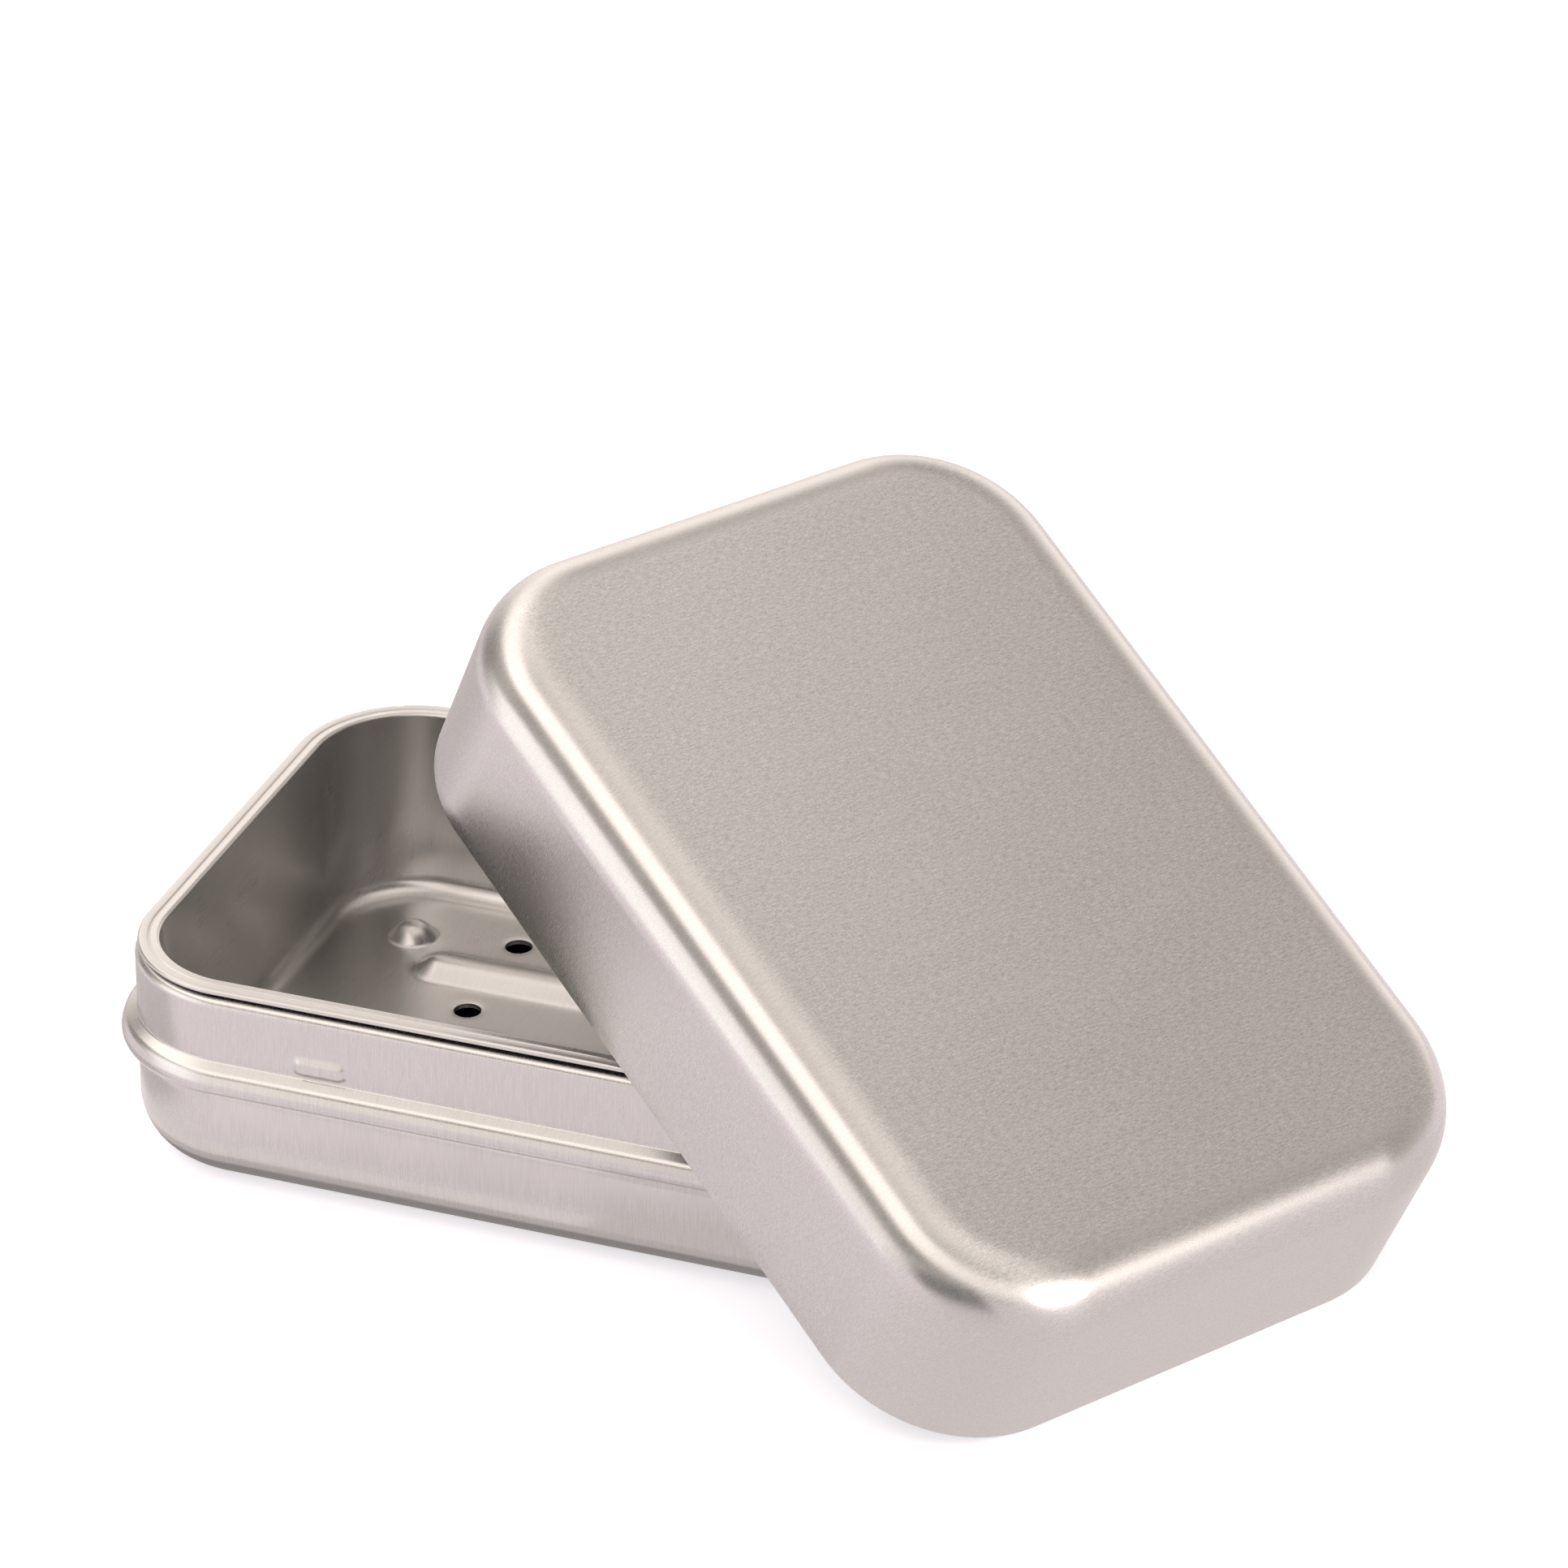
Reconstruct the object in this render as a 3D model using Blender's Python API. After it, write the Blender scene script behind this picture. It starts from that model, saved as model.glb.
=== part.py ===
"""Soap box of pressed aluminium: a beaded base, a lift-out drain tray and a deep lid.

The tray hangs by its flange on the neck of the base. The lid is off: it leans on the rims of the
base and tray, with its lower end on the table. Lengths are in metres and +Z is up. The origin is
the centre of the base's underside.
"""
import math

import bmesh
import bpy
from mathutils import Euler, Matrix, Vector

# Sheet and fits
SHEET = 0.00055
TRAY_SHEET = 0.0005
SEAT_GAP = 0.0003
OVERCUT = 0.0002

# Base: body, bead and neck
BASE_LENGTH = 0.0969
BASE_WIDTH = 0.0660
BASE_HEIGHT = 0.0229
BASE_CORNER_RADIUS = 0.0133
FOOT_RADIUS = 0.0060
BEAD_LEVEL = 0.0135
BEAD_TALL = 0.0034
BEAD_PROUD = 0.0017
SHOULDER_RADIUS = 0.0011
LIP_REACH = 0.0017

# Stops on the neck that the lid slides over
STOP_LENGTH = 0.0062
STOP_TALL = 0.0023
STOP_PROUD = 0.0005
STOP_SPACING = 0.0466
STOP_ABOVE_BEAD = 0.00085

# Drain tray: flange and walls
FLANGE_SETBACK = 0.0003
FLANGE_ROLL = 0.0003
FLANGE_GROOVE_INSET = 0.0015
FLANGE_LIP_RISE = 0.0001
FLANGE_LIP_RADIUS = 0.0006
TRAY_WALL_INSET = 0.00265
TRAY_TIP = 0.0003
DRIP_GAP = 0.00085
TRAY_FLOOR_RADIUS = 0.0020

# Drain tray: ribs, holes and knobs on its floor
HOLE_MARGIN = 0.00645
RIB_MARGIN = 0.0109
RIB_WIDTH = 0.0065
RIB_HEIGHT = 0.0015
RIB_SLOPE = 0.0020
HOLE_DIAMETER = 0.0030
HOLE_SPACING = 0.0239
KNOB_INSET = 0.0130
KNOB_DIAMETER = 0.0053
KNOB_HEIGHT = 0.0018

# Lid
LID_CLEARANCE = 0.00125
LID_HEIGHT = 0.0233
LID_CORNER_RADIUS = 0.0158
LID_EDGE_RADIUS = 0.0066

# How the lid leans
LID_TURN = math.radians(32.5)
LID_TILT = math.radians(27.15)
LEAN_GAP = 0.0002

# Fineness
CORNER_STEPS = 9
EDGE_STEPS = 6
BEAD_STEPS = 8
PRESSING_STEPS = 5
HOLE_STEPS = 16

COLOUR = (0.62, 0.60, 0.585, 1.0)
ROUGHNESS = 0.34
SMOOTH_ANGLE = math.radians(35)


def clear_scene():
    for thing in list(bpy.context.scene.objects):
        bpy.data.objects.remove(thing, do_unlink=True)


def aluminium(name):
    material = bpy.data.materials.new(name)
    material.use_nodes = True
    shader = material.node_tree.nodes["Principled BSDF"]
    shader.inputs["Base Color"].default_value = COLOUR
    shader.inputs["Roughness"].default_value = ROUGHNESS
    shader.inputs["Metallic"].default_value = 1.0
    return material


def arc(centre, radii, start, end, steps):
    """Points of an elliptical arc, as (inset, height) pairs, with angles in degrees."""
    points = []
    for step in range(steps + 1):
        angle = math.radians(start + (end - start) * step / steps)
        points.append((centre[0] + radii[0] * math.cos(angle),
                       centre[1] + radii[1] * math.sin(angle)))
    return points


def rounded_ring(length, width, radius, inset, height, steps=CORNER_STEPS):
    """One ring round a rectangle with round corners, moved inwards by the inset."""
    across = length / 2 - radius
    deep = width / 2 - radius
    corners = ((across, -deep, -90), (across, deep, 0), (-across, deep, 90), (-across, -deep, 180))
    ring = []
    for x, y, start in corners:
        for step in range(steps + 1):
            angle = math.radians(start + 90 * step / steps)
            ring.append(Vector((x + (radius - inset) * math.cos(angle),
                                y + (radius - inset) * math.sin(angle),
                                height)))
    return ring


def loft(bm, rings):
    """A closed body through the rings, with a flat face on the first and the last."""
    loops = [[bm.verts.new(point) for point in ring] for ring in rings]
    for lower, upper in zip(loops, loops[1:]):
        count = len(lower)
        for i in range(count):
            following = (i + 1) % count
            bm.faces.new((lower[i], lower[following], upper[following], upper[i]))
    bm.faces.new(reversed(loops[0]))
    bm.faces.new(loops[-1])


def finish_mesh(bm, name):
    """Weld, face the mesh outwards and return it with smooth shading."""
    bmesh.ops.remove_doubles(bm, verts=bm.verts, dist=SEAT_GAP / 100)
    bmesh.ops.recalc_face_normals(bm, faces=bm.faces)
    mesh = bpy.data.meshes.new(name)
    bm.to_mesh(mesh)
    bm.free()
    mesh.shade_smooth()
    mesh.set_sharp_from_angle(angle=SMOOTH_ANGLE)
    return mesh


def add_object(name, mesh, material=None):
    thing = bpy.data.objects.new(name, mesh)
    bpy.context.scene.collection.objects.link(thing)
    if material:
        mesh.materials.append(material)
    return thing


def shell(name, length, width, radius, profile, material):
    """Sheet metal drawn to the profile all the way round a rounded rectangle."""
    bm = bmesh.new()
    loft(bm, [rounded_ring(length, width, radius, inset, height) for inset, height in profile])
    return add_object(name, finish_mesh(bm, name), material)


def boolean(target, operation, cutter):
    """Add or cut with another object, which stays out of the model."""
    modifier = target.modifiers.new(cutter.name, "BOOLEAN")
    modifier.operation = operation
    modifier.solver = "EXACT"
    modifier.object = cutter
    cutter.hide_render = True
    cutter.display_type = "WIRE"


def join_into(bm, body, place):
    mesh = bpy.data.meshes.new("joined")
    body.transform(place)
    body.to_mesh(mesh)
    body.free()
    bm.from_mesh(mesh)
    bpy.data.meshes.remove(mesh)


def swelling(bm, length, width, rise, slope, foot, place):
    """A pressed swelling with round ends, from its foot up to its flat or round top."""
    profile = [(0, -foot)] + arc((slope, 0), (slope, rise), 180, 90, PRESSING_STEPS)
    body = bmesh.new()
    loft(body, [rounded_ring(length, width, width / 2, inset, height, PRESSING_STEPS)
                for inset, height in profile])
    join_into(bm, body, place)


def base_profile():
    """Up the outside of the base, over the neck's lip and down the inside."""
    outside = arc((FOOT_RADIUS, FOOT_RADIUS), (FOOT_RADIUS, FOOT_RADIUS), 270, 180, EDGE_STEPS)
    outside += arc((0, BEAD_LEVEL), (BEAD_PROUD, BEAD_TALL / 2), 270, 90, BEAD_STEPS)
    shoulder = (SHOULDER_RADIUS, BASE_HEIGHT - SHOULDER_RADIUS)
    outside += arc(shoulder, (SHOULDER_RADIUS, SHOULDER_RADIUS), 180, 90, EDGE_STEPS)
    lip = [(LIP_REACH, BASE_HEIGHT), (LIP_REACH, BASE_HEIGHT - SHEET)]
    under = SHOULDER_RADIUS - SHEET
    inside = arc(shoulder, (under, under), 90, 180, EDGE_STEPS)
    inside += arc((SHEET, BEAD_LEVEL), (BEAD_PROUD, BEAD_TALL / 2 - SHEET), 90, 270, BEAD_STEPS)
    within = FOOT_RADIUS - SHEET
    inside += arc((FOOT_RADIUS, FOOT_RADIUS), (within, within), 180, 270, EDGE_STEPS)
    return outside + lip + inside


def stops():
    """Four small swellings on the long sides of the neck."""
    bm = bmesh.new()
    level = BEAD_LEVEL + BEAD_TALL / 2 + STOP_ABOVE_BEAD + STOP_TALL / 2
    for side in (-1, 1):
        upright = Euler((-side * math.pi / 2, 0, 0)).to_matrix().to_4x4()
        for end in (-1, 1):
            place = Matrix.Translation((end * STOP_SPACING / 2, side * BASE_WIDTH / 2, level))
            swelling(bm, STOP_LENGTH, STOP_TALL, STOP_PROUD, STOP_TALL / 2 - OVERCUT, SHEET / 2,
                     place @ upright)
    return add_object("stop_guide", finish_mesh(bm, "stop_guide"))


def make_base(material):
    base = shell("base", BASE_LENGTH, BASE_WIDTH, BASE_CORNER_RADIUS, base_profile(), material)
    boolean(base, "UNION", stops())
    return base


def tray_seat():
    """Height of the flange's underside where it hangs over the neck."""
    return BASE_HEIGHT + SEAT_GAP


def tray_floor():
    """Height of the tray floor's upper face."""
    return SHEET + DRIP_GAP + TRAY_SHEET


def tray_profile():
    """From under the tray's floor, up its outside, over the flange and down its inside."""
    wall = TRAY_WALL_INSET - TRAY_SHEET
    outer = TRAY_FLOOR_RADIUS + TRAY_SHEET
    centre = (TRAY_WALL_INSET + TRAY_FLOOR_RADIUS, tray_floor() + TRAY_FLOOR_RADIUS)
    outside = arc(centre, (outer, outer), 270, 180, EDGE_STEPS)
    roll = (FLANGE_SETBACK + FLANGE_ROLL, tray_seat() + FLANGE_ROLL)
    top = roll[1] + FLANGE_ROLL
    flange = [(wall, tray_seat())]
    flange += arc(roll, (FLANGE_ROLL, FLANGE_ROLL), 270, 90, EDGE_STEPS)
    flange.append((FLANGE_GROOVE_INSET, top))
    lip = (TRAY_WALL_INSET - FLANGE_LIP_RADIUS, top + FLANGE_LIP_RISE - FLANGE_LIP_RADIUS)
    flange += arc(lip, (FLANGE_LIP_RADIUS, FLANGE_LIP_RADIUS), 90, 0, EDGE_STEPS)
    inside = arc(centre, (TRAY_FLOOR_RADIUS, TRAY_FLOOR_RADIUS), 180, 270, EDGE_STEPS)
    return outside + flange + inside


def row_pitch():
    """Spacing of the rows of ribs and holes, which fill the flat of the floor."""
    flat = BASE_WIDTH / 2 - TRAY_WALL_INSET - TRAY_FLOOR_RADIUS
    return (flat - HOLE_MARGIN) / 3


def rib_length():
    flat = BASE_LENGTH / 2 - TRAY_WALL_INSET - TRAY_FLOOR_RADIUS
    return 2 * (flat - RIB_MARGIN)


def knob_places():
    x = BASE_LENGTH / 2 - KNOB_INSET
    y = BASE_WIDTH / 2 - KNOB_INSET
    return [(side * x, end * y) for side in (-1, 1) for end in (-1, 1)]


def pressings(name, sink):
    """Ribs and knobs of the tray's floor, lowered by the sink to cut their hollow undersides."""
    bm = bmesh.new()
    foot = OVERCUT + sink
    height = tray_floor() - sink
    for row in (-2, 0, 2):
        place = Matrix.Translation((0, row * row_pitch(), height))
        swelling(bm, rib_length() - sink, RIB_WIDTH - sink, RIB_HEIGHT, RIB_SLOPE, foot, place)
    width = KNOB_DIAMETER - sink
    for x, y in knob_places():
        place = Matrix.Translation((x, y, height))
        swelling(bm, width, width, KNOB_HEIGHT, width / 2 - OVERCUT, foot, place)
    return add_object(name, finish_mesh(bm, name))


def drain_holes():
    """Three columns of holes, with a row on each side of every rib."""
    bm = bmesh.new()
    depth = TRAY_SHEET + 2 * OVERCUT
    for row in (-3, -1, 1, 3):
        for column in (-1, 0, 1):
            place = (column * HOLE_SPACING, row * row_pitch(), tray_floor() - TRAY_SHEET / 2)
            bmesh.ops.create_cone(bm, cap_ends=True, segments=HOLE_STEPS, depth=depth,
                                  radius1=HOLE_DIAMETER / 2, radius2=HOLE_DIAMETER / 2,
                                  matrix=Matrix.Translation(place))
    return add_object("hole_cutter", finish_mesh(bm, "hole_cutter"))


def make_tray(material):
    """The tray sits a little proud at its right-hand end, as it does under the leaning lid."""
    tray = shell("drain_tray", BASE_LENGTH, BASE_WIDTH, BASE_CORNER_RADIUS, tray_profile(), material)
    boolean(tray, "UNION", pressings("pressing_guide", 0))
    boolean(tray, "DIFFERENCE", pressings("hollow_cutter", TRAY_SHEET))
    boolean(tray, "DIFFERENCE", drain_holes())
    tip = Euler((0, -math.atan2(TRAY_TIP, BASE_LENGTH), 0)).to_matrix().to_4x4()
    pivot = Matrix.Translation((-BASE_LENGTH / 2, 0, tray_seat()))
    for thing in [tray] + [modifier.object for modifier in tray.modifiers]:
        thing.matrix_world = pivot @ tip @ pivot.inverted()
    return tray


def lid_length():
    return BASE_LENGTH + 2 * (LID_CLEARANCE + SHEET)


def lid_width():
    return BASE_WIDTH + 2 * (LID_CLEARANCE + SHEET)


def lid_profile():
    """Down the outside of the lid from its flat top, and back up the inside of the skirt."""
    centre = (LID_EDGE_RADIUS, LID_HEIGHT - LID_EDGE_RADIUS)
    within = LID_EDGE_RADIUS - SHEET
    outside = arc(centre, (LID_EDGE_RADIUS, LID_EDGE_RADIUS), 90, 180, EDGE_STEPS)
    inside = arc(centre, (within, within), 180, 90, EDGE_STEPS)
    return outside + [(0, 0), (SHEET, 0)] + inside


def clear_level(skew, x):
    """Least height of the lid's rim plane where the skirt crosses the tray's rolled flange.

    The skew is the angle between the skirt and the flange, seen from above.
    """
    roll = tray_seat() + FLANGE_ROLL + TRAY_TIP * (x + BASE_LENGTH / 2) / BASE_LENGTH
    steep = math.atan2(math.tan(LID_TILT), math.sin(skew))
    skirt_drop = SHEET / 2 * math.tan(LID_TILT) / math.tan(skew)
    return roll + (FLANGE_ROLL + LEAN_GAP) / math.cos(steep) + skirt_drop


def lid_rest():
    """Centre of the lid's rim: it crosses the front rim and the curve at the right-hand end."""
    inset = FLANGE_SETBACK + FLANGE_ROLL
    span = lid_width() - SHEET
    heading = Vector((math.cos(LID_TURN), -math.sin(LID_TURN)))
    across = Vector((-heading.y, heading.x))
    radius = BASE_CORNER_RADIUS - inset
    corner = Vector((BASE_LENGTH / 2 - BASE_CORNER_RADIUS, BASE_WIDTH / 2 - BASE_CORNER_RADIUS))
    reach = inset - BASE_WIDTH / 2 + span * across.y - corner.y
    bearing = math.asin(max(0, min(1, reach / radius)))
    far = corner + radius * Vector((math.cos(bearing), math.sin(bearing)))
    near = far - span * across
    level = max(clear_level(LID_TURN, near.x),
                clear_level(math.pi / 2 - LID_TURN - bearing, far.x))
    beyond = level / math.sin(LID_TILT) - lid_length() / 2
    middle = (near + far) / 2 + beyond * math.cos(LID_TILT) * heading
    return Vector((middle.x, middle.y, level - beyond * math.sin(LID_TILT)))


def make_lid(material):
    lid = shell("lid", lid_length(), lid_width(), LID_CORNER_RADIUS, lid_profile(), material)
    lid.location = lid_rest()
    lid.rotation_euler = Euler((0, LID_TILT, -LID_TURN))
    return lid


def main():
    clear_scene()
    make_base(aluminium("base_aluminium"))
    make_tray(aluminium("tray_aluminium"))
    make_lid(aluminium("lid_aluminium"))
    bpy.context.view_layer.update()


main()
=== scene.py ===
# %% [markdown]
# # A soap box of brushed aluminium
# The box has three pieces, each pressed from one sheet: a base with a bead round it, a drain tray that
# hangs inside the base, and a deep lid that leans on both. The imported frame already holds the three
# solids at their real size. This script gives each one its fine surface and its finish, then lights and
# photographs them. Lengths are in metres.

# %% Load the frame
import math

import bpy
import numpy as np
from mathutils import Euler, Matrix, Vector
from mathutils.geometry import delaunay_2d_cdt


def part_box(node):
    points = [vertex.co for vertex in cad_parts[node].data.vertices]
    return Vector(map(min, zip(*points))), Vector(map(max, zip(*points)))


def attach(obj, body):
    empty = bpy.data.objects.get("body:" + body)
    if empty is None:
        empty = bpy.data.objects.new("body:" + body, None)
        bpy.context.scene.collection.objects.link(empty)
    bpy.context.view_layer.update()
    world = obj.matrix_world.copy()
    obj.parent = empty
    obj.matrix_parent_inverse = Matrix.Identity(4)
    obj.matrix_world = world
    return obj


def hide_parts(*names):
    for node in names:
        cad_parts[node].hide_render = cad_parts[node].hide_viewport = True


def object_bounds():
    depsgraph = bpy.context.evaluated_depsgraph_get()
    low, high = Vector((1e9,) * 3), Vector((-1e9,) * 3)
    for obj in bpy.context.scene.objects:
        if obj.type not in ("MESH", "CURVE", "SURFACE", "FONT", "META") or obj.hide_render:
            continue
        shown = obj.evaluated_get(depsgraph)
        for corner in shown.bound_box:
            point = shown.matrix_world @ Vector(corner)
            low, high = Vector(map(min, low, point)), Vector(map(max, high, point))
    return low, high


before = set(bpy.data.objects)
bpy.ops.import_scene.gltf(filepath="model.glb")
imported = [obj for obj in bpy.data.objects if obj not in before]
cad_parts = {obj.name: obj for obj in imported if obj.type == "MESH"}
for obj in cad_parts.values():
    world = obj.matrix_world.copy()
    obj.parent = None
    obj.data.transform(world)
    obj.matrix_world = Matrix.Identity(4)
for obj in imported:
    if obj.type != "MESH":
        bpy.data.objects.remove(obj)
MM = 0.001


def as_lists(bounds):
    return [[float(value) for value in corner] for corner in bounds]


cad_bounds = as_lists(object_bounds())

# %% [markdown]
# ## Sizes
# The outer sizes are read from the frame, so that each piece fits the solid that it stands for. The
# small sizes that a box can't tell, such as the sheet's thickness and the width of a fold, are named
# here. They could be typed where they are used, but then two pieces that fit each other would drift
# apart when one number changes.

# %% Sizes of the base
SHEET = 0.55 * MM
BEAD_PROUD = 1.7 * MM
BASE_CORNER_RADIUS = 13.3 * MM
FOOT_RADIUS = 6.0 * MM
BEAD_LEVEL = 13.5 * MM
BEAD_TALL = 3.4 * MM
SHOULDER_RADIUS = 0.95 * MM
LIP_REACH = 1.7 * MM

base_low, base_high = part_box("base")
BASE_LENGTH = base_high.x - base_low.x - 2 * BEAD_PROUD
BASE_WIDTH = base_high.y - base_low.y - 2 * BEAD_PROUD
BASE_HEIGHT = base_high.z
print(f"base {BASE_LENGTH / MM:.1f} x {BASE_WIDTH / MM:.1f} x {BASE_HEIGHT / MM:.1f} mm")

# %% [markdown]
# ## From an outline to a sheet
# Every piece is one outline, a rectangle with round corners, and one profile that runs round it. A
# profile could be swept along a curve object, but its points would then sit where the sweep puts them.
# Built row by row, each point also knows where it lay on the flat sheet before pressing. The brush
# lines follow that flat sheet, so it is kept with the mesh as a UV map.

# %% Stations round an outline
CORNER_STEPS = 32


def stations(length, width, radius, straight_step):
    """Centres and outward normals round a rectangle with round corners."""
    across = length / 2 - radius
    deep = width / 2 - radius
    corners = [(across, -deep, -90), (across, deep, 0), (-across, deep, 90), (-across, -deep, 180)]
    centres, angles = [], []
    for place, (x, y, start) in enumerate(corners):
        next_x, next_y, _ = corners[(place + 1) % len(corners)]
        for step in range(CORNER_STEPS):
            centres.append((x, y))
            angles.append(start + 90 * step / CORNER_STEPS)
        count = max(1, round(math.hypot(next_x - x, next_y - y) / straight_step))
        for step in range(count):
            share = step / count
            centres.append((x + (next_x - x) * share, y + (next_y - y) * share))
            angles.append(start + 90)
    angles = np.radians(angles)
    return np.array(centres), np.column_stack([np.cos(angles), np.sin(angles)])


# %% Curves for profiles
def arc(centre, radii, start, end, steps):
    """Points (inset, height) of an elliptical arc, with angles in degrees."""
    angles = np.radians(np.linspace(start, end, steps + 1))
    return [(centre[0] + radii[0] * math.cos(a), centre[1] + radii[1] * math.sin(a)) for a in angles]


def soften(corners, steps=6):
    """Round an outline of (inset, height, cut): each rounding starts the cut away from its corner."""
    points = [np.array(corners[0][:2])]
    for before, corner, after in zip(corners, corners[1:], corners[2:]):
        here = np.array(corner[:2])
        cut = corner[2]
        if not cut:
            points.append(here)
            continue
        back = np.array(before[:2]) - here
        ahead = np.array(after[:2]) - here
        start = here + back * cut / np.linalg.norm(back)
        end = here + ahead * cut / np.linalg.norm(ahead)
        for t in np.linspace(0, 1, steps + 1):
            points.append((1 - t) ** 2 * start + 2 * t * (1 - t) * here + t ** 2 * end)
    points.append(np.array(corners[-1][:2]))
    return [tuple(point) for point in points]


def straight(start, end, step):
    """Points from start to end, both left out."""
    count = max(1, round(math.dist(start, end) / step))
    return [tuple(np.array(start) + (np.array(end) - np.array(start)) * i / count)
            for i in range(1, count)]


# %% Rows of a pressed sheet
def pressed_rows(outline_size, profile, fold):
    """Points and flat-sheet places, row by row.

    The fold is the row where the outside turns into the inside, and both run from the flat.
    """
    centres, normals = stations(*outline_size)
    radius = outline_size[2]
    profile = np.array(profile)
    steps = np.linalg.norm(np.diff(profile, axis=0), axis=1)
    runs = np.concatenate([[0], np.cumsum(steps)])
    runs = np.where(np.arange(len(runs)) <= fold, runs, runs[-1] - runs)
    flat = centres + normals * (radius - profile[0][0])
    points, places = [], []
    for (inset, height), run in zip(profile, runs):
        ring = centres + normals * (radius - inset)
        points.append(np.column_stack([ring, np.full(len(ring), height)]))
        places.append(flat + normals * run)
    return np.array(points), np.array(places)


def ring_faces(rows, count, first=0):
    """Four-sided faces between neighbouring rows, all the way round."""
    faces = []
    for row in range(rows - 1):
        for i in range(count):
            j = (i + 1) % count
            a = first + row * count
            faces.append((a + i, a + j, a + count + j, a + count + i))
    return faces


# %% Mesh with its flat-sheet map
SHARP_ANGLE = math.radians(50)


def sheet_object(name, points, places, faces):
    """A smooth mesh object whose UV map, in millimetres, says where each point lay on the sheet."""
    mesh = bpy.data.meshes.new(name)
    mesh.from_pydata([tuple(point) for point in points], [], faces)
    layer = mesh.uv_layers.new(name="sheet")
    corners = np.zeros(len(mesh.loops), dtype=np.int32)
    mesh.loops.foreach_get("vertex_index", corners)
    layer.data.foreach_set("uv", (np.array(places)[corners] / MM).astype(np.float32).ravel())
    mesh.shade_smooth()
    mesh.set_sharp_from_angle(angle=SHARP_ANGLE)
    thing = bpy.data.objects.new(name, mesh)
    bpy.context.scene.collection.objects.link(thing)
    print(f"{name}: {len(mesh.vertices)} points, {len(mesh.polygons)} faces")
    return thing


# %% [markdown]
# ## A flat panel that is pressed into relief
# The tray's floor is a flat panel with shapes pressed into it. A boolean could add the ribs, but it
# leaves a hard line at their foot, where real sheet bends in a soft curve. So the panel is filled with
# small triangles first, with its holes left out, and a function then lifts each point. The soft foot
# comes from the function.

# %% Fill a panel
def circle(centre, radius, count):
    angles = np.linspace(0, 2 * math.pi, count, endpoint=False)
    return np.array(centre) + radius * np.column_stack([np.cos(angles), np.sin(angles)])


def inside_depth(points, half_length, half_width, radius):
    """How far each point lies inside a rectangle with round corners."""
    beyond = np.abs(points) - np.array([half_length - radius, half_width - radius])
    outside = np.linalg.norm(np.maximum(beyond, 0), axis=1)
    return radius - outside - np.minimum(beyond.max(axis=1), 0)


EDGE_GAP = 0.6
HOLE_GAP = 0.5


def middle_and_radius(ring):
    centre = ring.mean(axis=0)
    return centre, np.linalg.norm(ring[0] - centre)


def fill_panel(outline, depth, step, holes=(), extra=()):
    """Triangles inside an outline. Points come back in the order outline, holes, then the rest.

    The grid's points keep the edge gap and the hole gap, as shares of the step, from what they meet.
    """
    reach = np.abs(outline).max(axis=0)
    rows = []
    for row, y in enumerate(np.arange(-reach[1], reach[1], step * math.sqrt(3) / 2)):
        x = np.arange(-reach[0] + step / 2 * (row % 2), reach[0], step)
        rows.append(np.column_stack([x, np.full(len(x), y)]))
    grid = np.concatenate(rows)
    grid = grid[depth(grid) > step * EDGE_GAP]
    for ring in holes:
        centre, radius = middle_and_radius(ring)
        grid = grid[np.linalg.norm(grid - centre, axis=1) > radius + step * HOLE_GAP]
    for ring, width in extra:
        centre, radius = middle_and_radius(ring)
        grid = grid[np.abs(np.linalg.norm(grid - centre, axis=1) - radius) > width]
    loops = [outline, *holes]
    points = np.concatenate([*loops, *[ring for ring, _ in extra], grid])
    edges, first = [], 0
    for loop in loops:
        edges += [(first + i, first + (i + 1) % len(loop)) for i in range(len(loop))]
        first += len(loop)
    no_faces, fill_inside = [], 1
    found = delaunay_2d_cdt([Vector(p) for p in points], edges, no_faces, fill_inside, step / 1000)
    order = [sources[0] for sources in found[3]]
    triangles = np.array([[order[i] for i in face] for face in found[2]])
    middles = points[triangles].mean(axis=1)
    keep = depth(middles) > -step / 100
    for ring in holes:
        centre, radius = middle_and_radius(ring)
        keep &= np.linalg.norm(middles - centre, axis=1) > radius
    triangles = triangles[keep]
    a, b, c = (points[triangles[:, i]] for i in range(3))
    turn = (b[:, 0] - a[:, 0]) * (c[:, 1] - a[:, 1]) - (b[:, 1] - a[:, 1]) * (c[:, 0] - a[:, 0])
    triangles[turn < 0] = triangles[turn < 0][:, ::-1]
    return points, triangles


# %% Height of a pressing
def pressed(depth, flank, height, foot, brow):
    """Height at a depth inside the pressing's outline.

    The flank is its sloping width. The foot and the brow say how softly it starts and ends.
    """
    rise = depth / flank * height
    lifted = (rise + np.sqrt(rise ** 2 + foot ** 2)) / 2
    left = height - lifted
    return height - (left + np.sqrt(left ** 2 + brow ** 2)) / 2 + brow ** 2 / (4 * height)


# %% [markdown]
# ## The base
# The base is drawn deep, then a bead is rolled into its wall, a little above half its height. The lid's
# skirt comes to rest on the bead. Above it, four small stops are pressed out of the neck's long sides.
# The bead could be an added ring, but it is the same sheet bulging out, so it belongs to the profile.
# Its upper side slopes at 30 degrees, then it rolls over and curls under, so a fine shadow line runs
# below it.

# %% Profile of the base
FLAT_MARGIN = 0.5 * MM
NECK_STEP = 0.12 * MM
BASE_STEP = 0.24 * MM
BEAD_RISE = 0.45 * MM
BEAD_SLOPE = 0.577
BEAD_ROUND = 1.3 * MM
BEAD_CURL = 1.35 * MM
CURL_LIFT = 0.25 * MM
CURL_ROOT = 0.1 * MM
CURL_START = 262
SIDE_FLAT = 0.3 * MM
SIDE_CUT = 0.28 * MM
ROLL_CUT = 0.45 * MM
NECK_CUT = 0.16 * MM
BLEND_LENGTH = 1.0 * MM


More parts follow.
